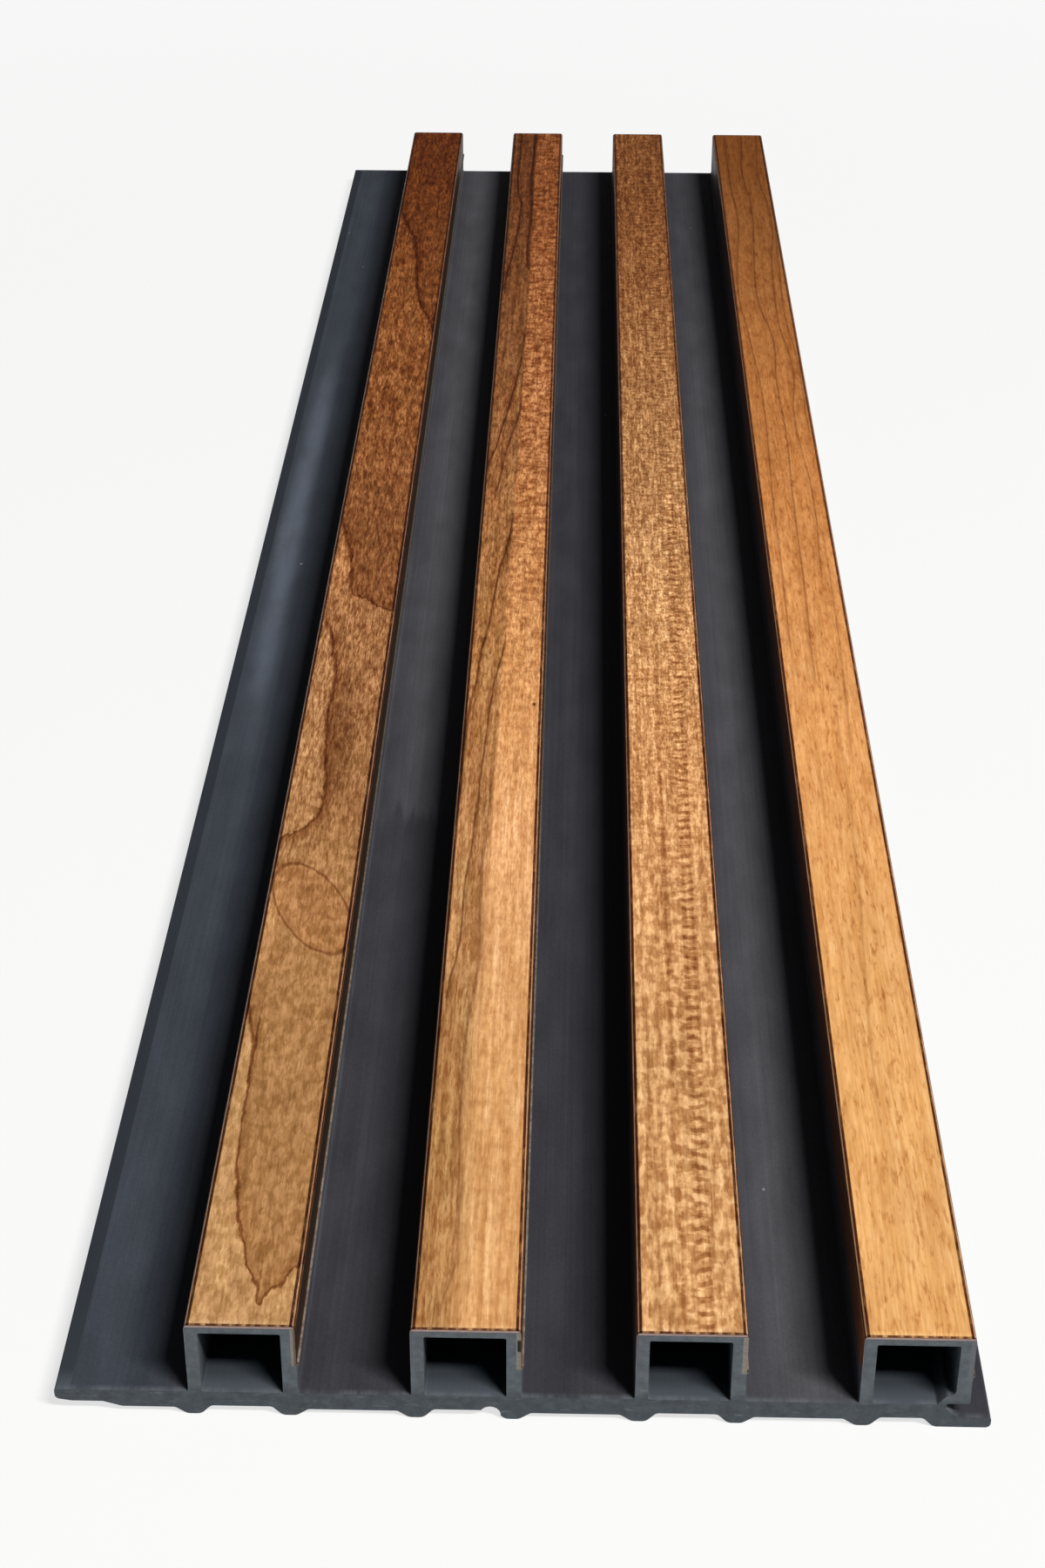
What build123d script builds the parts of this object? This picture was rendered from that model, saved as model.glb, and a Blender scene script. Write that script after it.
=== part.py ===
from build123d import *
import math
import os

# Wall panel extruded in wood-plastic composite: a base sheet with hollow slats standing on it, and a
# wood-print film on each slat. X runs across the slats, Y along them and Z from the wall outwards.
# It is drawn lying on its back, with the origin under the middle of the glue ribs. Millimetres.

# Overall
panel_length = 700.0
slat_count = 4
slat_pitch = 40.0
slat_width = 19.7
slat_rise = 15.7

# Decor film
film_top_thickness = 0.6
film_left_thickness = 0.4
film_right_thickness = 0.9
film_drop = 9.2
film_corner_radius = 0.9
film_lip_reach = 0.4
film_lip_height = 0.5

# Core
core_corner_radius = 0.3
base_thickness = 3.8
belly_relief = 0.5
left_wall = 2.35
right_wall = 2.65
top_wall = 1.25
hollow_radius = 0.4
slat_root_radius = 0.5

# Glue ribs, one under each slat wall
glue_rib_height = 1.5
glue_rib_face = 2.5
left_rib_inset = 0.8
right_rib_inset = 1.7
gap_flank = 35.0
belly_flank = 47.0
rib_nose_radius = 1.8
rib_root_radius = 1.2

# Tongue along the left edge
tongue_reach = 3.9
tongue_strip = 8.6
tongue_thickness = 2.7
tongue_step = 3.4
tongue_step_radius = 1.5
nose_run = 3.0
nose_rise = 0.5
nose_radius = 1.0
tongue_corner_radius = 0.4

# Wide foot, lip and groove along the right edge
joint_clearance = 0.25
lip_reach = 4.1
lip_corner_radius = 0.6
lip_toe_radius = 1.0
foot_face = 10.3
web_thickness = 1.9
web_flank = 52.0
web_crown_radius = 0.8
web_wall_radius = 1.2
groove_ramp_run = 2.2
groove_ramp_rise = 1.9
groove_radius = 0.3

# Chip in the lower edge of the near saw cut, beside the second slat's right-hand rib
chip_slat = 1
chip_radius = 1.9
chip_depth = 0.9
chip_offset = 5.6

# Heights above the wall
underside = glue_rib_height
belly = underside + belly_relief
floor_top = underside + base_thickness
panel_top = floor_top + slat_rise
film_edge = panel_top - film_drop
core_top = panel_top - film_top_thickness
hollow_top = core_top - top_wall
tongue_bottom = floor_top - tongue_thickness
groove_floor = tongue_bottom - joint_clearance
groove_roof = floor_top + joint_clearance
web_top = groove_roof + web_thickness

# Places across the panel. The gap between slats is repeated as the flange at the left edge.
gap = slat_pitch - slat_width
flange_width = gap + tongue_reach
slats_span = (slat_count - 1) * slat_pitch + slat_width
panel_width = flange_width + slats_span + lip_reach
tongue_tip = -panel_width / 2
first_slat = tongue_tip + flange_width
slat_left = [first_slat + i * slat_pitch for i in range(slat_count)]
slats_right_end = first_slat + slats_span
lip_edge = slats_right_end + lip_reach
groove_end = slats_right_end - tongue_reach - joint_clearance
foot_left = lip_edge - foot_face


def section(*corners):
    """Closed outline in the XZ plane from corners given as (x, z, corner radius)."""
    points = [(x, z) for x, z, _ in corners]
    radii = [radius for _, _, radius in corners]
    with BuildSketch(Plane.XZ) as face:
        with BuildLine():
            FilletPolyline(*points, radius=radii, close=True)
        make_face()
    return face.sketch


def lengthwise(face):
    """Extrude a section to the whole length, half to each side of the origin."""
    return extrude(face, amount=panel_length / 2, both=True)


def flank_run(rise, slope):
    """Horizontal run of a flank that climbs by rise at the given slope in degrees."""
    return rise / math.tan(math.radians(slope))


def tongue_underside():
    """Tapered nose, thin strip and the step down to the full base sheet."""
    return [
        (tongue_tip, tongue_bottom + nose_rise, nose_radius),
        (tongue_tip + nose_run, tongue_bottom, tongue_step_radius),
        (tongue_tip + tongue_strip, tongue_bottom, tongue_step_radius),
        (tongue_tip + tongue_strip + tongue_step, underside, tongue_step_radius),
    ]


def left_glue_rib(slat):
    """Rib under a slat's left wall: a gap on its left, the raised belly on its right."""
    centre = slat + left_rib_inset
    half = glue_rib_face / 2
    return [
        (centre - half - flank_run(underside, gap_flank), underside, rib_root_radius),
        (centre - half, 0, rib_nose_radius),
        (centre + half, 0, rib_nose_radius),
        (centre + half + flank_run(belly, belly_flank), belly, rib_root_radius),
    ]


def right_glue_rib(slat):
    """Rib under a slat's right wall, the other way round."""
    centre = slat + slat_width - right_rib_inset
    half = glue_rib_face / 2
    return [
        (centre - half - flank_run(belly, belly_flank), belly, rib_root_radius),
        (centre - half, 0, rib_nose_radius),
        (centre + half, 0, rib_nose_radius),
        (centre + half + flank_run(underside, gap_flank), underside, rib_root_radius),
    ]


def ribs_underside():
    """Ribs under both walls of each slat. The last slat's right wall stands on the foot instead."""
    corners = []
    for slat in slat_left[:-1]:
        corners += left_glue_rib(slat) + right_glue_rib(slat)
    return corners + left_glue_rib(slat_left[-1])


def foot_and_groove():
    """Foot, lower lip and the groove above it, which takes the next panel's tongue."""
    return [
        (foot_left - flank_run(belly, belly_flank), belly, rib_root_radius),
        (foot_left, 0, rib_nose_radius),
        (lip_edge, 0, lip_toe_radius),
        (lip_edge, groove_floor, lip_corner_radius),
        (groove_end + groove_ramp_run, groove_floor, lip_corner_radius),
        (groove_end, groove_floor + groove_ramp_rise, groove_radius),
        (groove_end, groove_roof, groove_radius),
        (slats_right_end, groove_roof, groove_radius),
    ]


def slats_upper_side():
    """Slats from the right edge to the left, with the film's recess round each top."""
    corners = []
    for left in reversed(slat_left):
        right = left + slat_width
        if left != slat_left[-1]:
            corners.append((right, floor_top, slat_root_radius))
        corners += [
            (right, film_edge, 0),
            (right - film_right_thickness, film_edge, 0),
            (right - film_right_thickness, core_top, core_corner_radius),
            (left + film_left_thickness, core_top, core_corner_radius),
            (left + film_left_thickness, film_edge, 0),
            (left, film_edge, 0),
            (left, floor_top, slat_root_radius),
        ]
    corners.append((tongue_tip, floor_top, tongue_corner_radius))
    return corners


def hollow(left):
    """Hollow of one slat."""
    right = left + slat_width
    return section(
        (left + left_wall, floor_top, hollow_radius),
        (right - right_wall, floor_top, hollow_radius),
        (right - right_wall, hollow_top, hollow_radius),
        (left + left_wall, hollow_top, hollow_radius),
    )


def hollow_over_groove(left):
    """Hollow of the last slat, with a web across its lower right corner that closes the groove's end."""
    right = left + slat_width
    web_start = groove_end - flank_run(web_top - floor_top, web_flank)
    return section(
        (left + left_wall, floor_top, hollow_radius),
        (web_start, floor_top, hollow_radius),
        (groove_end, web_top, web_crown_radius),
        (right - right_wall, web_top, web_wall_radius),
        (right - right_wall, hollow_top, hollow_radius),
        (left + left_wall, hollow_top, hollow_radius),
    )


def saw_chip():
    """Small scoop that the saw broke out of the lower edge at the near end."""
    x = slat_left[chip_slat] + slat_width - chip_offset
    return Pos(x, -panel_length / 2, belly + chip_depth - chip_radius) * Sphere(chip_radius)


def core_profile():
    """The whole extrusion: base sheet, hollow slats, glue ribs, tongue, foot and groove."""
    outline = section(*tongue_underside(), *ribs_underside(), *foot_and_groove(), *slats_upper_side())
    for left in slat_left[:-1]:
        outline -= hollow(left)
    outline -= hollow_over_groove(slat_left[-1])
    return lengthwise(outline) - saw_chip()


def decor_film(left):
    """Film over one slat's top and the upper part of its sides, its trimmed right edge turned out."""
    right = left + slat_width
    inner_left = left + film_left_thickness
    inner_right = right - film_right_thickness
    face = section(
        (left, film_edge, 0),
        (inner_left, film_edge, 0),
        (inner_left, core_top, core_corner_radius),
        (inner_right, core_top, core_corner_radius),
        (inner_right, film_edge, 0),
        (right + film_lip_reach, film_edge, 0),
        (right + film_lip_reach, film_edge + film_lip_height, 0),
        (right, film_edge + film_lip_height, 0),
        (right, panel_top, film_corner_radius),
        (left, panel_top, film_corner_radius),
    )
    return lengthwise(face)


def write(part, node):
    """Save one sub-part under its name."""
    part.label = node
    export_step(part, f"parts/{node}.step")


os.makedirs("parts", exist_ok=True)
write(core_profile(), "core_profile")
for number, left in enumerate(slat_left, start=1):
    write(decor_film(left), f"decor_film_{number}")
print(f"panel {panel_width:.1f} x {panel_length:.1f} x {panel_top:.1f} mm")
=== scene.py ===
import bpy
import math
from mathutils import Matrix, Vector


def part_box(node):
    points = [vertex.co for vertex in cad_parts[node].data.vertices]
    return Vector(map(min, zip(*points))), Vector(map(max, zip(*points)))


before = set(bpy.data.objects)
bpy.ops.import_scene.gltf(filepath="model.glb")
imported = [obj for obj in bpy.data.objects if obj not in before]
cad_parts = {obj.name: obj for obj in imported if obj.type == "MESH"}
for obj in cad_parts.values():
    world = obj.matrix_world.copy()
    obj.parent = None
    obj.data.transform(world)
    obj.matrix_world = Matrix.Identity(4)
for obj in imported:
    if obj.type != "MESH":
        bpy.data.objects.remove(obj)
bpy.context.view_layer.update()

FILMS = ["decor_film_1", "decor_film_2", "decor_film_3", "decor_film_4"]

# Sizes and places on the panel in millimetres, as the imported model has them. The materials take x across
# the panel, v along it from the near cut, and z up.
MM = 1000.0
NEAR_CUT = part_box("core_profile")[0].y * MM
LENGTH = -2 * NEAR_CUT
FLANGE_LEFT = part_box("core_profile")[0].x * MM
FILM_LEFT = [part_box(name)[0].x * MM for name in FILMS]
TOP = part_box(FILMS[0])[1].z * MM
FILM_TOP_THICKNESS = 0.6
SLAT_WIDTH = 19.7
SLAT_PITCH = 40.0
FIRST_GAP_MIDDLE = -30.0
THIRD_GAP_MIDDLE = 50.0

# Brightness of the background, and of the floor where it runs into it
PALE = 0.95


def linear(red, green, blue):
    """Scene-linear colour of an sRGB colour given in 0 to 255."""
    def channel(value):
        value /= 255.0
        return value / 12.92 if value <= 0.04045 else ((value + 0.055) / 1.055) ** 2.4
    return (channel(red), channel(green), channel(blue), 1.0)


def grey(level):
    """Scene-linear grey."""
    return (level, level, level, 1.0)


class Graph:
    """Short ways to add and join the shader nodes of one material or world."""

    def __init__(self, owner):
        owner.use_nodes = True
        self.owner = owner
        self.tree = owner.node_tree
        self.tree.nodes.clear()
        self.memo = {}

    def node(self, kind, **settings):
        made = self.tree.nodes.new(kind)
        for key, value in settings.items():
            setattr(made, key, value)
        return made

    def set(self, socket, value):
        """Link a socket to another, or give it a value."""
        if isinstance(value, bpy.types.NodeSocket):
            self.tree.links.new(value, socket)
        else:
            socket.default_value = value

    def math(self, operation, a, b=0.0, c=0.0):
        made = self.node("ShaderNodeMath", operation=operation)
        for socket, value in zip(made.inputs, (a, b, c)):
            self.set(socket, value)
        return made.outputs[0]

    def add(self, a, b):
        return self.math("ADD", a, b)

    def sub(self, a, b):
        return self.math("SUBTRACT", a, b)

    def mul(self, a, b):
        return self.math("MULTIPLY", a, b)

    def div(self, a, b):
        return self.math("DIVIDE", a, b)

    def most(self, a, b):
        return self.math("MAXIMUM", a, b)

    def least(self, a, b):
        return self.math("MINIMUM", a, b)

    def size(self, value):
        return self.math("ABSOLUTE", value)

    def off(self, value, centre):
        """Distance of the value from the centre."""
        return self.size(self.sub(value, centre))

    def span(self, a, b):
        """Length of the vector (a, b)."""
        return self.math("SQRT", self.add(self.mul(a, a), self.mul(b, b)))

    def step(self, value, low, high, out_low=0.0, out_high=1.0, kind="SMOOTHSTEP"):
        """Value taken from low..high to out_low..out_high, held at both ends."""
        made = self.node("ShaderNodeMapRange", interpolation_type=kind)
        for socket, given in zip(made.inputs, (value, low, high, out_low, out_high)):
            self.set(socket, given)
        return made.outputs[0]

    def line(self, value, low, high, out_low, out_high):
        """The same in a straight line."""
        return self.step(value, low, high, out_low, out_high, "LINEAR")

    def fall(self, value, low, high, out_high=0.0):
        """1 below low, falling to out_high above high."""
        return self.step(value, low, high, 1.0, out_high)

    def bump_at(self, value, centre, width):
        """1 at the centre, falling to 0 at width either side."""
        return self.fall(self.off(value, centre), 0.0, width)

    def scaled(self, value):
        """A coordinate given as a number, a socket, or a pair of a socket and its scale."""
        return self.mul(*value) if isinstance(value, tuple) else value

    def combine(self, x, y, z=0.0):
        made = self.node("ShaderNodeCombineXYZ")
        for socket, value in zip(made.inputs, (x, y, z)):
            self.set(socket, self.scaled(value))
        return made.outputs[0]

    def separate(self, vector):
        made = self.node("ShaderNodeSeparateXYZ")
        self.set(made.inputs[0], vector)
        return made.outputs

    def texture(self, kind, x, y, z, **settings):
        """Texture node over coordinates that are already scaled to the size of its grain."""
        made = self.node(kind, **settings)
        self.set(made.inputs["Vector"], self.combine(x, y, z))
        made.inputs["Scale"].default_value = 1.0
        return made

    def grain(self, x, y, z=0.0, detail=2.0, rough=0.5, distortion=0.0):
        """Noise between 0 and 1."""
        made = self.texture("ShaderNodeTexNoise", x, y, z)
        made.inputs["Detail"].default_value = detail
        made.inputs["Roughness"].default_value = rough
        made.inputs["Distortion"].default_value = distortion
        return made.outputs["Fac"]

    def cells(self, x, y, z=0.0):
        """Distance to the nearest of scattered points."""
        return self.texture("ShaderNodeTexVoronoi", x, y, z).outputs["Distance"]

    def swayed(self, value, noise, reach):
        """Value moved either way by a noise, within the reach in all."""
        return self.add(value, self.mul(self.sub(noise, 0.5), reach))

    def mix(self, factor, a, b, blend="MIX"):
        made = self.node("ShaderNodeMix", data_type="RGBA", blend_type=blend)
        self.set(made.inputs["Factor"], factor)
        self.set(made.inputs[6], a)
        self.set(made.inputs[7], b)
        return made.outputs[2]

    def shade(self, colour, factor):
        """Colour times a grey factor."""
        made = self.node("ShaderNodeVectorMath", operation="SCALE")
        self.set(made.inputs[0], colour[:3] if isinstance(colour, tuple) else colour)
        self.set(made.inputs["Scale"], factor)
        return made.outputs[0]

    def tinted(self, colour, weight, tint, lift=1.0):
        """Colour taken towards its product with the tint by weight, then lifted to keep its mean."""
        gain = self.mix(weight, grey(lift), tuple(lift * part for part in tint) + (1.0,))
        return self.mix(1.0, colour, gain, "MULTIPLY")

    def curve(self, value, points):
        """Free curve through points (input, output), each between 0 and 1."""
        made = self.node("ShaderNodeFloatCurve")
        line = made.mapping.curves[0]
        line.points[0].location = points[0]
        line.points[1].location = points[-1]
        for point in points[1:-1]:
            line.points.new(*point)
        for point in line.points:
            point.handle_type = "AUTO_CLAMPED"
        made.mapping.update()
        self.set(made.inputs["Value"], value)
        return made.outputs[0]

    def place(self):
        """Coordinates in millimetres: across, along from the near cut, and up."""
        if "place" not in self.memo:
            x, y, z = self.separate(self.node("ShaderNodeTexCoord").outputs["Object"])
            along = self.math("MULTIPLY_ADD", y, MM, -NEAR_CUT)
            self.memo["place"] = (self.mul(x, MM), along, self.mul(z, MM))
        return self.memo["place"]

    def normal(self):
        if "normal" not in self.memo:
            self.memo["normal"] = self.separate(self.node("ShaderNodeNewGeometry").outputs["True Normal"])
        return self.memo["normal"]

    def cut_face(self):
        """1 on the two sawn ends."""
        return self.step(self.size(self.normal()[1]), 0.6, 0.8)

    def from_cut(self):
        """Distance along the panel to the nearer of its ends."""
        along = self.place()[1]
        return self.least(along, self.sub(LENGTH, along))

    def relief(self, *layers):
        """Bump built up from (height 0 to 1, depth in metres) layers."""
        normal = None
        for height, depth in layers:
            made = self.node("ShaderNodeBump")
            made.inputs["Strength"].default_value = 1.0
            made.inputs["Distance"].default_value = depth
            self.set(made.inputs["Height"], height)
            if normal is not None:
                self.set(made.inputs["Normal"], normal)
            normal = made.outputs[0]
        return normal

    def shader(self, kind, **values):
        """Shader with the named sockets set."""
        made = self.node(kind)
        for name, value in values.items():
            self.set(made.inputs[name], value)
        return made.outputs[0]

    def joined(self, kind, *parts):
        """Shader that adds or mixes others, its sockets given in order."""
        made = self.node(kind)
        for socket, part in zip(made.inputs, parts):
            self.set(socket, part)
        return made.outputs[0]

    def show(self, surface, kind="ShaderNodeOutputMaterial"):
        self.tree.links.new(surface, self.node(kind).inputs[0])
        return self.owner

    def finish(self, colour, roughness, normal, specular):
        surface = self.node("ShaderNodeBsdfPrincipled")
        self.set(surface.inputs["Base Color"], colour)
        self.set(surface.inputs["Roughness"], roughness)
        self.set(surface.inputs["Normal"], normal)
        surface.inputs["Specular IOR Level"].default_value = specular
        return self.show(surface.outputs[0])


def new_material(name):
    return Graph(bpy.data.materials.new(name))


def stand(name, data, place, right, upward, backward):
    """Camera or lamp at a place, with its own x, y and z axes along the given directions."""
    made = bpy.data.objects.new(name, data)
    made.matrix_world = Matrix.Translation(place) @ Matrix((right, upward, backward)).transposed().to_4x4()
    bpy.context.scene.collection.objects.link(made)
    return made


def add_camera():
    """The photo's view, fitted on the corners of the near cut and the slats' edges."""
    place = Vector((0.0077, -0.7021, 0.3423))
    yaw, pitch, roll = math.radians(-1.27), math.radians(30.74), math.radians(0.12)
    look = Vector((math.sin(yaw) * math.cos(pitch), math.cos(yaw) * math.cos(pitch), -math.sin(pitch)))
    level = Vector((math.cos(yaw), -math.sin(yaw), 0.0))
    upward = level.cross(look)
    right = level * math.cos(roll) + upward * math.sin(roll)
    upward = upward * math.cos(roll) - level * math.sin(roll)
    lens = bpy.data.cameras.new("camera")
    lens.sensor_fit = "AUTO"
    lens.sensor_width = 36.0
    lens.lens = 61.0
    bpy.context.scene.camera = stand("camera", lens, place, right, upward, -look)


def add_key_light():
    """A long soft lamp above the panel's right front, its long side across the panel."""
    aim, distance = Vector((0.0, -0.35, 0.0)), 4.3
    lamp = bpy.data.lights.new("key", "AREA")
    lamp.shape = "RECTANGLE"
    lamp.size, lamp.size_y = 1.7, 0.5
    lamp.energy = 212.0
    lamp.color = (1.0, 0.985, 0.96)
    back = Vector((0.455, -0.424, 0.784)).normalized()
    across = (Vector((1, 0, 0)) - back * back.x).normalized()
    stand("key", lamp, aim + back * distance, across, back.cross(across), back)


def off_gloss(graph, path):
    """1 for rays off gloss or through glass."""
    return graph.most(path.outputs["Is Glossy Ray"], path.outputs["Is Transmission Ray"])


def add_floor():
    """Pale floor under the glue ribs, lifted where it is seen. It shows the shadow and runs into the sky."""
    half = 9.0
    corners = [(-half, -half, 0), (half, -half, 0), (half, half, 0), (-half, half, 0)]
    mesh = bpy.data.meshes.new("floor")
    mesh.from_pydata(corners, [], [(0, 1, 2, 3)])
    floor = bpy.data.objects.new("floor", mesh)
    bpy.context.scene.collection.objects.link(floor)
    graph = new_material("floor")
    x, y, _ = graph.place()
    cloud = graph.step(graph.grain((x, 0.02), (y, 0.02), detail=3.0), 0.3, 0.7)
    own = graph.shader("ShaderNodeBsdfDiffuse", Color=graph.mix(cloud, grey(0.84), grey(0.88)))
    away = graph.step(graph.div(graph.span(x, y), MM), 0.45, 1.3)
    shown = graph.shader("ShaderNodeBsdfDiffuse", Color=graph.mix(away, grey(0.26), grey(0.0)))
    lift = graph.shader("ShaderNodeEmission", Strength=graph.line(away, 0.0, 1.0, 0.72, PALE))
    path = graph.node("ShaderNodeLightPath")
    seen_directly = graph.most(path.outputs["Is Camera Ray"], off_gloss(graph, path))
    lifted = graph.joined("ShaderNodeAddShader", shown, lift)
    mesh.materials.append(graph.show(graph.joined("ShaderNodeMixShader", seen_directly, own, lifted)))


def add_world():
    """White where the camera sees it, with a low pale band for gloss, and dim for soft fill light."""
    world = bpy.data.worlds.new("world")
    bpy.context.scene.world = world
    graph = Graph(world)
    path = graph.node("ShaderNodeLightPath")
    direction = graph.separate(graph.node("ShaderNodeTexCoord").outputs["Generated"])
    gloss = graph.mul(off_gloss(graph, path), graph.mul(graph.fall(direction[2], 0.05, 0.2), 0.25))
    white = graph.shader("ShaderNodeBackground", Color=grey(PALE))
    fill = graph.shader("ShaderNodeBackground", Color=(0.93, 0.96, 1.0, 1), Strength=0.055)
    seen = graph.most(path.outputs["Is Camera Ray"], gloss)
    graph.show(graph.joined("ShaderNodeMixShader", seen, fill, white), "ShaderNodeOutputWorld")


def extruded_colour(g, streak, cloud, fine):
    """The core's long faces: die lines along the extrusion, mottling, side walls painted paler as painted
    light, a painted shadow beside the first slat, painted shade in the hollows, painted sheen on the flange
    and first gap, and dust.
    """
    x, v, z = g.place()

    # bluish on the flange and neutral in the gaps, the first and third of which are paler
    from_flange = g.step(x, FLANGE_LEFT + 12.0, FLANGE_LEFT + 30.0)
    plain = g.mix(from_flange, linear(66, 72, 81), linear(60, 60, 66))
    # painted shadow: the flange darkened beside the first slat, where that slat's soft shadow falls
    plain = g.tinted(plain, g.bump_at(x, FLANGE_LEFT + 15.0, 6.0), (0.80, 0.80, 0.82))
    # the first gap's paler part further from the near cut is painted sheen
    ragged = g.add(v, g.step(g.grain((x, 0.22), 0.0, 3.0, detail=3.0), 0.3, 0.7, -7.0, 7.0))
    reach = g.add(g.step(ragged, 195.0, 203.0, 0.1, 0.7), g.step(v, 200.0, 320.0, 0.0, 0.3))
    first_gap = g.mul(g.bump_at(x, FIRST_GAP_MIDDLE, 16.0), reach)
    third_gap = g.mul(g.bump_at(x, THIRD_GAP_MIDDLE, 16.0), g.fall(v, 400.0, 640.0, 0.5))
    plain = g.mix(g.mul(g.add(first_gap, third_gap), 0.9), plain, linear(88, 88, 93))
    plain = g.shade(plain, g.line(cloud, 0.3, 0.7, 0.88, 1.12))
    plain = g.shade(plain, g.line(streak, 0.25, 0.75, 0.88, 1.12))
    plain = g.shade(plain, g.line(fine, 0.2, 0.8, 0.86, 1.14))

    # slats' side walls painted paler than the gaps: painted light, standing in for the lamp's stronger light
    # on the upright faces
    wall = g.step(g.size(g.normal()[0]), 0.6, 0.9)
    plain = g.mix(g.mul(wall, g.step(cloud, 0.3, 0.7, 0.4, 0.8)), plain, linear(98, 101, 108))

    # hollows' insides, smooth and bluish, and darkened deeper behind the cut as painted shade
    across = g.math("MODULO", g.sub(x, FILM_LEFT[0] - 10 * SLAT_PITCH), SLAT_PITCH)
    between_walls = g.mul(g.step(across, 1.0, 1.2), g.fall(across, 18.5, 18.7))
    inside = g.mul(between_walls, g.step(z, 5.0, 5.2))
    plain = g.mix(g.mul(inside, g.step(v, 6.0, 30.0, 0.9, 0.5)), plain, linear(80, 88, 95))
    plain = g.tinted(plain, g.mul(inside, g.step(v, 0.5, 6.0)), (0.5, 0.5, 0.52))

    # lengthwise paler band on the flange, and a hazy patch on it, both painted sheen
    sheen_band_reach = g.mul(g.step(v, 215.0, 300.0), g.fall(v, 430.0, 520.0))
    band = g.mul(g.bump_at(x, FLANGE_LEFT + 8.0, 5.0), sheen_band_reach)
    plain = g.mix(g.mul(band, g.step(cloud, 0.3, 0.6, 0.7, 1.0)), plain, linear(97, 104, 116))
    painted_haze_highlight = g.mul(g.bump_at(x, FLANGE_LEFT + 5.5, 3.0), g.bump_at(v, 355.0, 42.0))
    plain = g.mix(g.mul(painted_haze_highlight, g.step(fine, 0.3, 0.7, 0.15, 0.5)), plain, linear(116, 122, 132))

    # dust specks
    dust = g.fall(g.cells((x, 0.055), (v, 0.04), (z, 0.055)), 0.012, 0.03)
    return g.mix(g.mul(dust, 0.55), plain, linear(170, 172, 176))


def core_material():
    """Charcoal composite, with smeared and paler sawn ends."""
    g = new_material("composite_core")
    x, v, z = g.place()
    streak = g.grain((x, 1.3), (v, 0.006), (z, 1.3), detail=3.0, rough=0.6)
    cloud = g.grain((x, 0.16), (v, 0.05), (z, 0.16), detail=3.0)
    fine = g.grain((x, 2.2), (v, 1.6), (z, 2.2), detail=2.0, rough=0.7)
    plain = extruded_colour(g, streak, cloud, fine)

    # sawn ends, darker in the base than in the walls
    saw = g.grain((x, 0.42), (z, 0.5), (v, 0.01), detail=4.0, rough=0.6)
    sawn = g.mix(g.step(z, 4.5, 8.0), linear(74, 80, 86), linear(90, 97, 102))
    sawn = g.shade(sawn, g.line(saw, 0.3, 0.7, 0.78, 1.26))
    sawn = g.shade(sawn, g.line(fine, 0.2, 0.8, 0.88, 1.12))
    smear = g.grain((x, 0.22), (z, 0.9), 5.0, detail=3.0, rough=0.7)
    sawn = g.mix(g.step(smear, 0.58, 0.72, 0.0, 0.5), sawn, linear(112, 118, 122))
    cut = g.cut_face()
    colour = g.mix(cut, plain, sawn)

    # paler rim of the long faces beside the cuts, a painted highlight along the cut edges
    rim = g.mul(g.fall(g.from_cut(), 0.2, 1.6), g.step(smear, 0.38, 0.62, 0.1, 0.6))
    colour = g.mix(g.mul(rim, g.sub(1.0, cut)), colour, linear(108, 114, 120))

    uneven = g.add(g.mul(cloud, 0.6), g.mul(fine, 0.4))
    roughness = g.most(g.step(uneven, 0.3, 0.7, 0.50, 0.66), g.mul(cut, 0.8))
    slant = g.add(g.mul(x, 0.35), g.mul(z, 0.12))
    kerf = g.texture("ShaderNodeTexWave", slant, (z, 0.05), 0.0,
                     wave_type="BANDS", bands_direction="X", wave_profile="SAW")
    kerf.inputs["Distortion"].default_value = 2.5
    saw_marks = g.mul(g.mul(kerf.outputs["Fac"], saw), cut)
    normal = g.relief((streak, 0.00006), (fine, 0.00003), (saw_marks, 0.00006))
    return g.finish(colour, roughness, normal, specular=0.13)


# The figures are drawn over s, the way across a slat unrolled over its sides, and v along it.

def contour(g, along, points, out_span, along_low, along_high):
    """Line drawn on a slat as f(along), through points (along, value) in millimetres."""
    span = along_high - along_low
    curve = [((place - along_low) / span, value / out_span) for place, value in sorted(points)]
    return g.mul(g.curve(g.div(g.sub(along, along_low), span), curve), out_span)


def signed_gap(g, value, along, points, out_span, along_low, along_high):
    """Distance in millimetres from a drawn line, positive above it, true to its slope."""
    delta = 0.35 * (along_high - along_low) / 20.0
    here = contour(g, along, points, out_span, along_low, along_high)
    there = contour(g, g.add(along, delta), points, out_span, along_low, along_high)
    slope = g.div(g.sub(there, here), delta)
    length = g.math("SQRT", g.math("MULTIPLY_ADD", slope, slope, 1.0))
    return g.div(g.sub(value, here), length)


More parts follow.
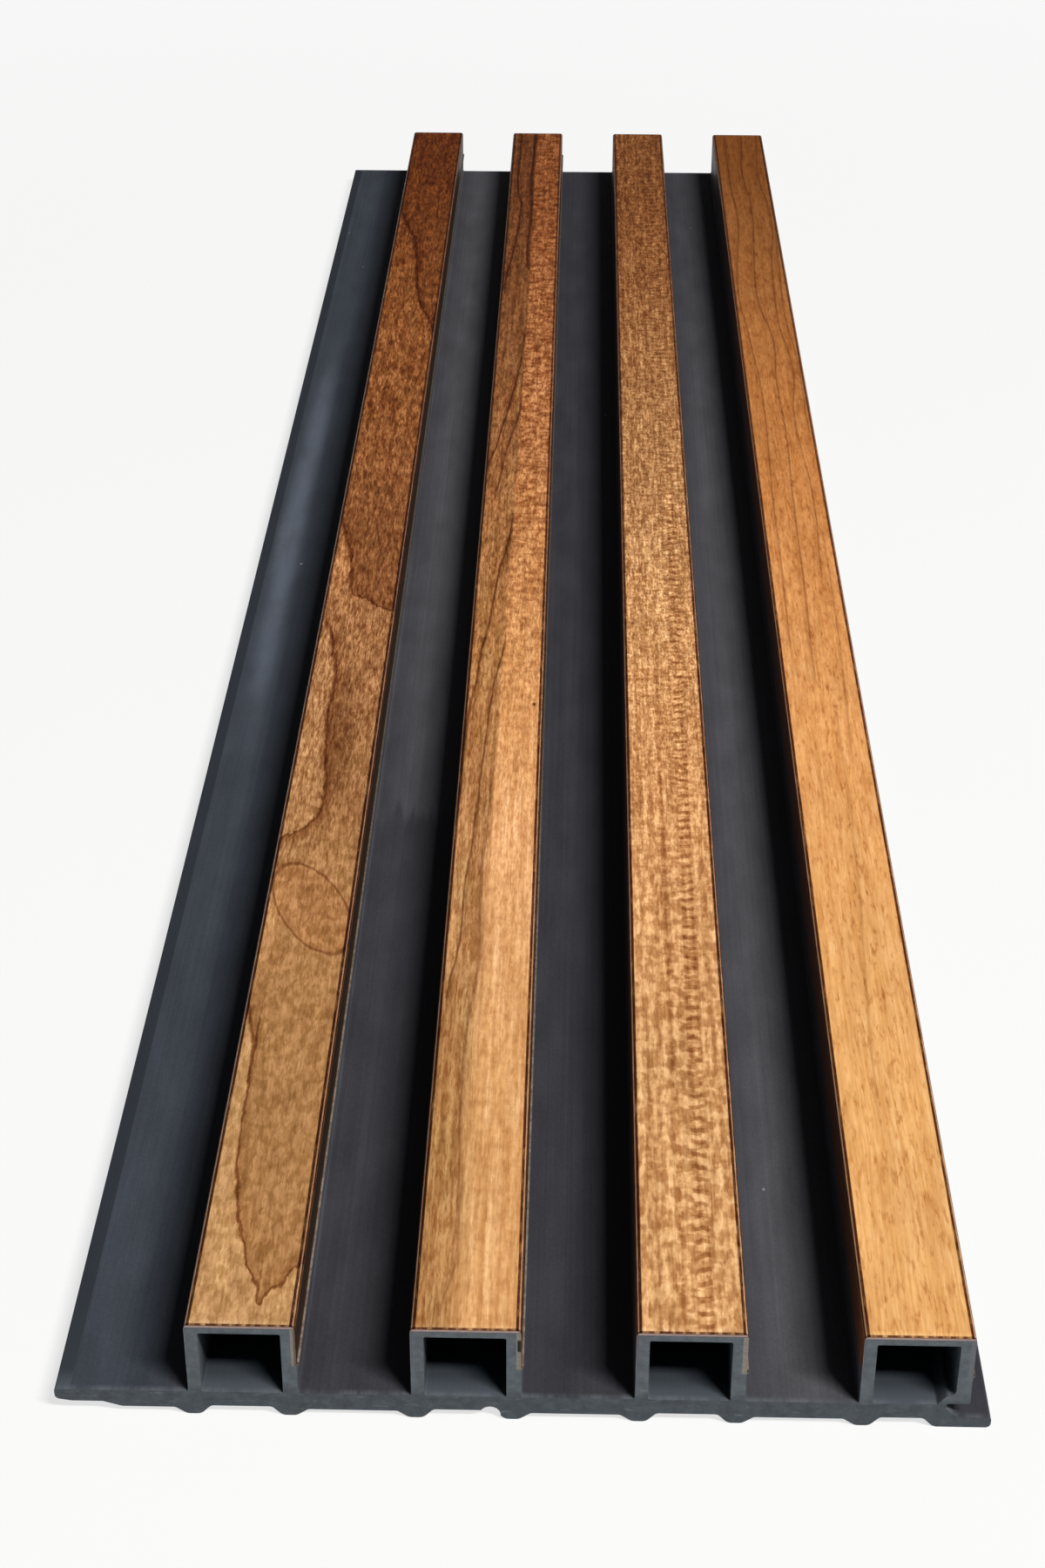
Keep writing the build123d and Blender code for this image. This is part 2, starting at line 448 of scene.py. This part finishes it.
def figure_lobes(g, s, v, tone):
    """First slat: rounded lobes with thin dark outlines, and one oval knot."""
    s2 = g.swayed(s, g.grain((s, 0.35), (v, 0.16), 3.0, detail=4.0, rough=0.65), 1.8)
    v2 = g.swayed(v, g.grain((s, 0.4), (v, 0.14), 9.0, detail=4.0, rough=0.65), 8.0)

    low = signed_gap(g, v2, s2, [(0, 100), (1.5, 93), (3.6, 78), (3.9, 66), (4.2, 50), (5.0, 40), (7.0, 27),
                                 (9.5, 17), (11.8, 11), (12.8, 5), (13.8, 8), (16, 12), (20, 18)],
                     120.0, 0.0, 20.0)
    side = signed_gap(g, s2, v2, [(150, 0), (161, 0.8), (165, 4), (170, 7.3), (177, 8.9), (185, 9.0),
                                  (196, 8.0), (210, 7.0), (222, 6.6), (236, 6.9), (248, 5.9), (264, 3.6),
                                  (275, 1.2), (290, 0)],
                      12.0, 150.0, 290.0)
    dark = signed_gap(g, v2, s2, [(0, 340), (1, 333), (3.2, 321), (5.4, 308), (6.2, 298), (7.2, 288),
                                  (9.5, 285.5), (13.5, 281.5), (17, 278), (20, 277)],
                      360.0, 0.0, 20.0)
    far = signed_gap(g, v2, s2, [(0, 610), (1.5, 600), (4, 587), (7.4, 572), (9.1, 556), (11, 528),
                                 (13.8, 505), (17, 492), (20, 478)],
                     620.0, 0.0, 20.0)
    knot_s, knot_along = g.mix(0.7, s2, s), g.mix(0.7, v2, v)
    knot_u = g.div(g.sub(knot_s, 10.6), 9.6)
    knot_v = g.div(g.sub(g.add(knot_along, g.mul(knot_s, 1.1)), 145.5), 14.5)
    knot = g.mul(g.sub(1.0, g.span(knot_u, knot_v)), 9.0)
    side_on = g.mul(g.step(v, 157.0, 163.0), g.fall(v, 262.0, 282.0))

    def lobe(colour, gap, weight, reach, tint, rest):
        """Tint the inner side of a line, strongest at the line and down to rest beyond its reach."""
        inner = g.mul(g.step(gap, -0.1, 0.25), g.fall(gap, 0.2, reach, rest))
        return g.tinted(colour, g.mul(inner, weight), tint)

    # soft flow, blotches, then fibres that grow longer and darker with the distance from the near cut
    flow = g.grain((s2, 0.45), (v2, 0.07), 5.0, detail=3.0, distortion=0.8)
    colour = g.tinted(tone, g.step(flow, 0.35, 0.65), (0.80, 0.76, 0.72), 1.12)
    mottle = g.grain((s, 0.55), (v, 0.26), 4.0, detail=4.0, rough=0.6, distortion=0.4)
    mottled = g.mul(g.step(mottle, 0.42, 0.60), g.fall(v, 100.0, 330.0, 0.6))
    colour = g.tinted(colour, mottled, (0.72, 0.68, 0.56), 1.13)
    slanting = g.math("MULTIPLY_ADD", s, 0.25, g.mul(v2, 0.17))
    fibre = g.grain((s2, 1.5), slanting, 1.0, detail=3.0, rough=0.65)
    fibrous = g.mul(g.step(fibre, 0.42, 0.60), g.step(v, 100.0, 220.0, 0.35, 1.0))
    colour = g.tinted(colour, fibrous, (0.54, 0.41, 0.31), 1.23)
    broad = g.grain((s2, 0.5), (v2, 0.035), 8.0, detail=3.0, rough=0.6, distortion=0.5)
    streaked = g.mul(g.step(broad, 0.44, 0.62), g.step(v, 280.0, 420.0))
    colour = g.tinted(colour, streaked, (0.68, 0.56, 0.46), 1.18)

    # what lies either side of each line
    colour = g.tinted(colour, g.fall(low, -0.25, 0.1), (1.10, 1.16, 1.24))
    colour = lobe(colour, low, 1.0, 4.5, (0.70, 0.62, 0.54), 0.42)
    left_pale = g.mul(g.fall(side, -0.25, 0.1), g.mul(side_on, g.fall(s, 9.0, 12.0)))
    colour = g.tinted(colour, left_pale, (1.10, 1.14, 1.18))
    colour = lobe(colour, side, side_on, 4.0, (0.68, 0.56, 0.48), 0.25)
    centre = g.mul(g.bump_at(s, 10.5, 6.5), g.bump_at(v, 208.0, 46.0))
    colour = g.tinted(colour, centre, (0.62, 0.54, 0.48))
    pale_near = g.mul(g.bump_at(s, 2.5, 5.0), g.bump_at(v, 128.0, 34.0))
    pale_far = g.mul(g.bump_at(s, 3.0, 5.0), g.bump_at(v, 298.0, 34.0))
    colour = g.tinted(colour, g.most(pale_near, pale_far), (1.28, 1.32, 1.38))
    colour = lobe(colour, dark, g.fall(v, 280.0, 430.0), 5.0, (0.56, 0.44, 0.34), 0.85)
    colour = lobe(colour, far, 1.0, 6.0, (0.64, 0.54, 0.46), 0.45)
    colour = g.tinted(colour, g.step(knot, -0.1, 0.3), (0.97, 0.90, 0.86))
    colour = g.tinted(colour, g.bump_at(v, 530.0, 160.0), (1.22, 1.28, 1.34))

    # outlines, drawn wider where the view is from further away
    spread = g.line(v, 0.0, 650.0, 1.0, 1.9)
    for gap, width, depth in ((low, 0.50, 1.0), (side, 0.55, side_on), (dark, 0.55, 1.0), (far, 0.55, 1.0),
                              (knot, 0.48, 0.75)):
        outline = g.fall(g.div(g.size(gap), spread), 0.1, width)
        colour = g.tinted(colour, g.mul(outline, depth), (0.42, 0.28, 0.20))
    return colour


def drawn_lines(g, s, v, colour, lines):
    """Dark lengthwise lines: (points (along, across), half width, strength, fade to one side)."""
    ends = 6.0
    spread = g.line(v, 0.0, 650.0, 1.0, 1.7)
    for points, width, strength, fade in lines:
        (first, start), (last, end) = points[0], points[-1]
        points = [(first - ends, start)] + points + [(last + ends, end)]
        gap = g.sub(s, contour(g, v, points, 20.0, first - ends, last + ends))
        shown = g.mul(g.step(v, first - ends, first + ends), g.fall(v, last - ends, last + ends))
        core = g.fall(g.div(g.size(gap), spread), 0.08, width)
        halo = g.mul(g.step(gap, 0.0, 0.2 if fade > 0 else -0.2), g.fall(gap, 0.0, fade))
        dark = g.mul(g.most(g.mul(core, strength), g.mul(halo, strength * 0.35)), shown)
        colour = g.tinted(colour, dark, (0.34, 0.24, 0.18))
    return colour


def figure_diagonal(g, s, v, tone):
    """Second slat: a streaked darker left part with long slanting lines, and a paler rippled right part."""
    s2 = g.swayed(s, g.grain((s, 0.25), (v, 0.03), 3.0, detail=3.0, rough=0.6), 1.6)
    border = g.line(v, 60.0, 420.0, 8.0, 9.9)
    softness = g.step(v, 120.0, 210.0, 2.6, 0.3)
    right = g.step(g.div(g.sub(s2, border), softness), -1.0, 1.0)
    soft = g.grain((s2, 0.85), (v, 0.018), 8.0, detail=3.0, rough=0.6)
    blotch = g.grain((s, 0.55), (v, 0.13), 21.0, detail=3.0, rough=0.6, distortion=0.4)
    dash = g.grain((s2, 1.5), (v, 0.22), 5.0, detail=3.0, rough=0.65)

    left_tone = g.tinted(tone, 1.0, (0.75, 0.75, 0.74))
    left_tone = g.tinted(left_tone, g.step(v, 160.0, 560.0), (0.70, 0.66, 0.64))
    left_tone = g.tinted(left_tone, g.step(soft, 0.38, 0.60), (0.70, 0.60, 0.50), 1.17)
    olive = g.grain((s, 0.4), (v, 0.03), 14.0, detail=3.0)
    left_tone = g.tinted(left_tone, g.mul(g.step(olive, 0.46, 0.58), 0.45), (0.84, 0.95, 0.92), 1.05)
    left_tone = g.tinted(left_tone, g.step(dash, 0.44, 0.62), (0.72, 0.60, 0.48), 1.14)
    left_tone = g.tinted(left_tone, g.step(blotch, 0.44, 0.62), (0.80, 0.74, 0.66), 1.10)

    right_tone = g.tinted(tone, g.step(soft, 0.38, 0.60), (0.84, 0.77, 0.68), 1.09)
    streaks = g.grain((s2, 1.0), (v, 0.020), 17.0, detail=2.0, rough=0.5)
    streaked = g.mul(g.step(streaks, 0.50, 0.64), g.fall(v, 120.0, 300.0, 0.3))
    right_tone = g.tinted(right_tone, streaked, (1.16, 1.28, 1.50))
    right_tone = g.tinted(right_tone, g.step(blotch, 0.46, 0.64), (0.88, 0.82, 0.76), 1.06)
    ripple = g.grain((s, 0.26), (v, 0.34), 2.0, detail=3.0, rough=0.6, distortion=0.6)
    rippled = g.mul(g.step(ripple, 0.44, 0.60), g.step(v, 180.0, 360.0, 0.2, 1.0))
    right_tone = g.tinted(right_tone, rippled, (0.58, 0.44, 0.34), 1.14)
    speck = g.grain((s, 1.0), (v, 0.22), 27.0, detail=3.0, rough=0.65)
    specked = g.mul(g.step(speck, 0.46, 0.62), g.step(v, 250.0, 420.0, 0.3, 1.0))
    right_tone = g.tinted(right_tone, specked, (0.62, 0.50, 0.40), 1.14)

    colour = drawn_lines(g, s2, v, g.mix(right, left_tone, right_tone), [
        ([(176, 0.9), (210, 1.1), (238, 2.4), (270, 4.7), (300, 6.6), (338, 9.2)], 0.42, 0.95, 1.4),
        ([(98, 1.6), (122, 3.4), (144, 3.9), (174, 5.1), (212, 6.2), (236, 7.3), (264, 9.2)],
         0.36, 0.85, 1.1),
        ([(30, 7.0), (62, 6.2), (92, 6.6), (114, 7.8), (140, 7.4), (190, 8.1)], 0.60, 0.55, -1.8),
        ([(2, 5.0), (22, 7.4), (44, 7.4)], 0.40, 0.4, -1.4),
        ([(545, 8.8), (590, 9.0), (640, 8.6), (700, 8.9)], 0.60, 0.95, 0.9),
        ([(520, 1.6), (560, 3.6), (584, 4.9), (604, 5.2), (644, 3.1), (700, 3.5)], 0.46, 0.9, 1.4),
        ([(370, 1.3), (388, 3.1), (434, 7.4), (480, 9.4)], 0.42, 0.95, -1.2),
        ([(350, 3.8), (360, 4.5), (388, 6.6), (424, 9.9)], 0.40, 0.85, -1.0),
    ])
    pin = g.span(g.sub(s, 17.5), g.mul(g.sub(v, 227.0), 0.5))
    return g.tinted(colour, g.fall(pin, 0.35, 0.6), (0.25, 0.18, 0.14))


def slow_sway(g, s, v):
    """Across coordinate with a slow sway along the slat."""
    return g.swayed(s, g.grain((s, 0.03), (v, 0.011), 2.0, detail=2.0, rough=0.4), 3.0)


def figure_quilted(g, s, v, tone):
    """Third slat: a woven look of short dashes both ways, with one ladder of wide crosswise ripples."""
    def weave(across, along, seed):
        return g.grain((s, across), (v, along), seed, detail=2.0, rough=0.5, distortion=0.3)

    # blocks that are coarser near the cut
    away = g.step(v, 90.0, 260.0)
    upright = g.mix(away, weave(0.8, 0.13, 2.0), weave(1.5, 0.13, 2.0))
    crosswise = g.mix(away, weave(0.32, 0.36, 6.0), weave(0.34, 0.58, 6.0))
    band = g.bump_at(s, g.line(v, 30.0, 330.0, 11.6, 13.8), 5.0)
    woven = g.add(g.mul(upright, g.sub(0.6, g.mul(band, 0.4))),
                  g.mul(crosswise, g.math("MULTIPLY_ADD", band, 0.4, 0.4)))

    stripe = g.grain((s, 0.8), (v, 0.012), 9.0, detail=3.0, rough=0.6)
    patch = g.grain((s, 0.75), (v, 0.26), 12.0, detail=3.0, rough=0.6)
    coarse = g.grain((s, 0.6), (v, 0.075), 19.0, detail=3.0, rough=0.65)
    colour = g.tinted(tone, g.step(stripe, 0.38, 0.62), (0.74, 0.67, 0.60), 1.14)
    colour = g.tinted(colour, g.step(woven, 0.43, 0.57), (0.62, 0.51, 0.42), 1.20)
    colour = g.tinted(colour, g.step(patch, 0.44, 0.60), (0.82, 0.75, 0.68), 1.08)
    blotched = g.mul(g.step(coarse, 0.42, 0.60), g.step(v, 300.0, 550.0))
    colour = g.tinted(colour, blotched, (0.74, 0.65, 0.57), 1.13)
    colour = g.tinted(colour, g.fall(patch, 0.30, 0.42), (1.10, 1.18, 1.28))

    # the ladder, and one dashed line
    rung_pitch = 3.7
    bent = g.grain((s, 0.25), (v, 0.05), 33.0, detail=2.0)
    rungs = g.math("SINE", g.math("MULTIPLY_ADD", v, 2 * math.pi / rung_pitch, g.mul(bent, 9.0)))
    ladder = g.mul(g.bump_at(s, g.line(v, 30.0, 330.0, 12.4, 14.2), 2.4), g.fall(v, 300.0, 430.0))
    rungs = g.mul(g.step(rungs, 0.1, 0.7), g.step(ladder, 0.1, 0.6))
    colour = g.tinted(colour, rungs, (0.62, 0.49, 0.39), 1.02)
    line = g.mul(g.bump_at(slow_sway(g, s, v), 8.2, 1.0), g.fall(v, 180.0, 300.0))
    colour = g.tinted(colour, g.mul(line, g.step(crosswise, 0.35, 0.6, 0.3, 0.9)), (0.68, 0.54, 0.42))

    speck = g.grain((s, 1.9), (v, 0.7), 4.0, detail=2.0, rough=0.6)
    specked = g.tinted(colour, g.step(speck, 0.42, 0.60), (0.68, 0.57, 0.48), 1.15)
    return g.mix(g.step(v, 90.0, 260.0, 0.3, 1.0), colour, specked)


def figure_straight(g, s, v, tone):
    """Fourth slat: clear orange wood with long thin lines that sway together in the far half."""
    s2 = slow_sway(g, s, v)
    soft = g.grain((s2, 0.8), (v, 0.012), 7.0, detail=3.0, rough=0.6)
    colour = g.tinted(tone, g.step(soft, 0.36, 0.64), (0.88, 0.80, 0.70), 1.07)
    cross = g.grain((s, 0.24), (v, 0.09), 1.0, detail=3.0, distortion=0.5)
    colour = g.tinted(colour, g.step(cross, 0.40, 0.64), (0.92, 0.88, 0.84), 1.05)
    colour = drawn_lines(g, s, v, colour, [
        ([(260, 3.4), (310, 3.9), (350, 4.1), (420, 5.2), (480, 3.6), (520, 2.0), (560, 3.6), (600, 5.4),
          (640, 4.4), (700, 4.6)], 0.30, 0.55, -1.6),
        ([(240, 8.6), (300, 9.4), (350, 9.9), (400, 10.8), (440, 10.4), (470, 11.4), (520, 8.2), (560, 9.4),
          (610, 11.0), (650, 9.6), (700, 11.2)], 0.30, 0.60, -2.0),
        ([(300, 14.6), (350, 15.8), (410, 14.2), (450, 16.2), (500, 14.0), (550, 15.2), (600, 17.6),
          (650, 15.6), (700, 17.0)], 0.28, 0.55, -2.0),
        ([(400, 17.9), (450, 18.3), (500, 16.6), (550, 17.6), (620, 19.0), (700, 19.2)], 0.3, 0.5, -1.6),
        ([(60, 8.2), (100, 9.2), (150, 11.5), (230, 12.4)], 0.45, 0.32, -1.6),
        ([(200, 14.8), (260, 16.2), (330, 16.8)], 0.34, 0.40, -1.4),
    ])
    fibre = g.grain((s2, 1.7), (v, 0.07), 1.0, detail=3.0, rough=0.6)
    colour = g.tinted(colour, g.step(fibre, 0.42, 0.62), (0.88, 0.82, 0.72), 1.05)
    blotch = g.grain((s, 0.6), (v, 0.12), 15.0, detail=3.0, rough=0.65, distortion=0.4)
    where = g.math("MULTIPLY_ADD", g.bump_at(s, 11.5, 6.0), 0.5, 0.5)
    colour = g.tinted(colour, g.mul(g.step(blotch, 0.54, 0.68), where), (0.70, 0.56, 0.46), 1.03)
    colour = g.tinted(colour, g.fall(blotch, 0.32, 0.44), (1.02, 1.08, 1.18))
    fleck = g.grain((s, 1.1), (v, 0.17), 12.0, detail=3.0, rough=0.6)
    return g.tinted(colour, g.step(fleck, 0.54, 0.70), (0.74, 0.60, 0.50), 1.03)


# One entry for each slat. "fade" is where along it the near colour goes over to the far one. Each of
# "tints" is a place along it, a reach either side and a tint. "threads" and "flecks" are weights. "strip"
# is the right side's cut edge, inside and outside, and "nick" how far down the dark nick in it lies.
WOODS = [
    dict(figure=figure_lobes, near=linear(175, 131, 85), far=linear(120, 70, 30), fade=(120.0, 640.0),
         tints=[(380.0, 260.0, (1.07, 1.04, 1.08)), (250.0, 180.0, (1.12, 1.26, 1.56))],
         near_tint=(0.91, 0.96, 1.03), threads=0.9, flecks=1.0,
         strip=(linear(128, 119, 112), linear(94, 79, 66)), nick=None),
    dict(figure=figure_diagonal, near=linear(210, 158, 106), far=linear(154, 99, 58), fade=(250.0, 620.0),
         tints=[(435.0, 185.0, (1.05, 1.04, 1.10)), (145.0, 80.0, (1.13, 1.17, 1.28))],
         near_tint=(0.95, 0.99, 0.99), threads=0.8, flecks=0.9,
         strip=(linear(124, 119, 112), linear(124, 114, 104)), nick=3.6),
    dict(figure=figure_quilted, near=linear(212, 163, 113), far=linear(144, 102, 63), fade=(220.0, 620.0),
         tints=[(420.0, 200.0, (1.0, 1.11, 1.22)), (270.0, 180.0, (1.03, 1.16, 1.28))],
         near_tint=(0.96, 1.06, 1.13), threads=0.5, flecks=0.9,
         strip=(linear(128, 122, 116), linear(126, 119, 113)), nick=None),
    dict(figure=figure_straight, near=linear(236, 175, 111), far=linear(137, 84, 38), fade=(150.0, 660.0),
         tints=[(405.0, 255.0, (1.06, 0.95, 0.86)), (270.0, 190.0, (1.09, 1.13, 1.22))],
         near_tint=(0.98, 1.09, 1.18), threads=0.3, flecks=0.3,
         strip=(linear(97, 100, 105), linear(95, 98, 103)), nick=None),
]


def printed_wood(g, number, s, v):
    """The slat's tones along the panel, its figure over them, then fine threads and flecks."""
    wooden = WOODS[number]
    tone = g.mix(g.step(v, *wooden["fade"], kind="LINEAR"), wooden["near"], wooden["far"])
    for centre, reach, tint in wooden["tints"]:
        tone = g.tinted(tone, g.bump_at(v, centre, reach), tint)
    tone = g.tinted(tone, g.fall(v, 60.0, 210.0), wooden["near_tint"])
    drift = g.grain((s, 0.12), (v, 0.02), 11.0 + number, detail=2.0)
    tone = g.shade(tone, g.line(drift, 0.3, 0.7, 0.94, 1.06))
    wood = wooden["figure"](g, s, v, tone)
    thread = g.grain((s, 2.4), (v, 0.30), 23.0 + number, detail=2.0, rough=0.6)
    threaded = g.tinted(wood, g.step(thread, 0.44, 0.60), (0.66, 0.55, 0.46), 1.18)
    wood = g.mix(g.step(v, 60.0, 260.0, 0.4 * wooden["threads"], wooden["threads"]), wood, threaded)
    fleck = g.grain((s, 0.55), (v, 0.12), 31.0 + number, detail=4.0, rough=0.75)
    flecked = g.tinted(wood, g.step(fleck, 0.43, 0.58), (0.60, 0.54, 0.48), 1.26)
    return g.mix(g.step(v, 150.0, 330.0, 0.15 * wooden["flecks"], wooden["flecks"]), wood, flecked)


def creased(g, wood, s, v, on_right, wear_and_highlight_noise):
    """The bends' pale crease, partly worn print and partly a painted highlight that is paler on the right
    sides, which face the lamp, with a dark line inside it, strongest near the cut.
    """
    half = SLAT_WIDTH / 2
    from_bend = g.off(g.off(s, half), half - 0.1)
    off_ink = g.div(g.off(from_bend, 0.54), g.line(v, 0.0, 600.0, 1.0, 1.4))
    inked = g.mul(g.fall(off_ink, 0.24, 0.42), g.step(wear_and_highlight_noise, 0.3, 0.5, 0.75, 1.0))
    wood = g.tinted(wood, g.mul(inked, g.fall(v, 200.0, 600.0, 0.8)), (0.09, 0.045, 0.04))
    # pale crease: painted highlight along the bend, partly worn print
    crease = g.mul(g.fall(from_bend, 0.10, 0.26), g.step(wear_and_highlight_noise, 0.38, 0.62, 0.4, 0.9))
    return g.mix(crease, wood, g.mix(on_right, linear(200, 154, 130), linear(160, 118, 98)))


def sawn_film(g, number, below_top, outward, on_right, speckle):
    """The film's body where it is sawn: print along the outside and a dark glue line inside."""
    wooden, half = WOODS[number], SLAT_WIDTH / 2
    top_body = g.mix(g.step(below_top, 0.08, 0.16), linear(112, 80, 60), linear(160, 138, 132))
    glue = g.step(below_top, FILM_TOP_THICKNESS - 0.14, FILM_TOP_THICKNESS - 0.06)
    top_body = g.mix(glue, top_body, linear(88, 80, 82))
    right_body = g.mix(g.step(outward, half - 0.5, half - 0.25), *wooden["strip"])
    left_body = g.mix(g.step(outward, half - 0.2, half - 0.05), linear(82, 86, 92), linear(104, 106, 112))
    if wooden["nick"]:
        nick = g.mul(g.fall(g.off(below_top, wooden["nick"]), 1.1, 1.6),
                     g.fall(g.off(outward, half - 0.36), 0.26, 0.42))
        right_body = g.mix(nick, right_body, linear(26, 20, 8))
    right_body = g.mix(g.step(outward, half, half + 0.06), right_body, linear(84, 76, 74))
    under_top = g.step(below_top, FILM_TOP_THICKNESS - 0.02, FILM_TOP_THICKNESS + 0.1)
    body = g.mix(under_top, top_body, g.mix(on_right, left_body, right_body))
    return g.shade(body, g.line(speckle, 0.3, 0.7, 0.86, 1.14))


def film_material(number):
    """Printed wood film of one slat, with darker sides, pale creases at the bends that are partly worn and
    partly painted highlight, a painted highlight along the cuts, and its body where it is cut.
    """
    g = new_material(f"decor_film_{number + 1}")
    x, v, z = g.place()
    half = SLAT_WIDTH / 2
    u = g.sub(x, FILM_LEFT[number])
    below_top = g.sub(TOP, z)
    side = g.math("SIGN", g.sub(u, half))
    on_right = g.step(side, -0.1, 0.1)
    s = g.math("MULTIPLY_ADD", side, below_top, u)
    wear_and_highlight_noise = g.grain((v, 0.15), (s, 0.6), 2.0, detail=4.0, rough=0.7)
    speckle = g.grain((v, 0.8), (z, 2.0), (x, 1.0), detail=3.0)
    wood = creased(g, printed_wood(g, number, s, v), s, v, on_right, wear_and_highlight_noise)

    # sides: dark walnut on the right, red brown on the left
    depth = g.step(below_top, 0.5, 1.4)
    streak = g.grain((z, 2.0), (v, 0.02), 3.0, detail=3.0)
    walnut = g.shade(linear(52, 35, 20), g.line(streak, 0.3, 0.7, 0.6, 1.4))
    red_brown = g.mix(0.4, g.tinted(wood, 1.0, (0.34, 0.22, 0.19)), linear(76, 40, 24))
    wood = g.mix(depth, wood, g.mix(on_right, red_brown, walnut))

    # the turned-out lower edge on the right shows the film's body
    lip = g.step(u, SLAT_WIDTH + 0.02, SLAT_WIDTH + 0.08)
    bare = g.mix(g.step(speckle, 0.3, 0.7), linear(112, 98, 88), linear(152, 137, 124))
    wood = g.mix(lip, wood, g.mix(g.step(v, 40.0, 260.0, 0.0, 0.8), bare, linear(74, 66, 60)))

    # bright line on the top beside the cuts, a painted highlight where the edge catches the light, then a
    # thin dark seam
    from_cut = g.from_cut()
    painted_edge_highlight = g.mul(g.fall(from_cut, 0.9, 1.7), g.step(wear_and_highlight_noise, 0.3, 0.6, 0.4, 1.0))
    wood = g.tinted(wood, g.mul(painted_edge_highlight, g.sub(1.0, depth)), (1.12, 1.22, 1.4))
    nibbled = g.grain((s, 0.5), 0.0, 3.0, detail=3.0, rough=0.6)
    seam = g.mul(g.fall(from_cut, 0.45, 0.65), g.step(nibbled, 0.36, 0.56, 0.35, 1.0))
    wood = g.tinted(wood, seam, (0.14, 0.08, 0.07))

    body = sawn_film(g, number, below_top, g.off(u, half), on_right, speckle)
    colour = g.mix(g.cut_face(), wood, body)
    pores = g.grain((s, 3.0), (v, 0.22), (z, 0.2), detail=3.0, rough=0.6)
    gloss = g.grain((s, 0.3), (v, 0.05), 7.0, detail=3.0)
    roughness = g.line(g.add(g.mul(gloss, 0.7), g.mul(pores, 0.3)), 0.3, 0.7, 0.42, 0.58)
    return g.finish(colour, roughness, g.relief((pores, 0.00004)), specular=0.2)


def dress(node, material):
    """Put a better material in a CAD node's own slot."""
    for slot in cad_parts[node].material_slots:
        slot.material = material


add_camera()
add_key_light()
add_floor()
add_world()
dress("core_profile", core_material())
for number, name in enumerate(FILMS):
    dress(name, film_material(number))

bpy.context.scene.view_settings.view_transform = "Standard"
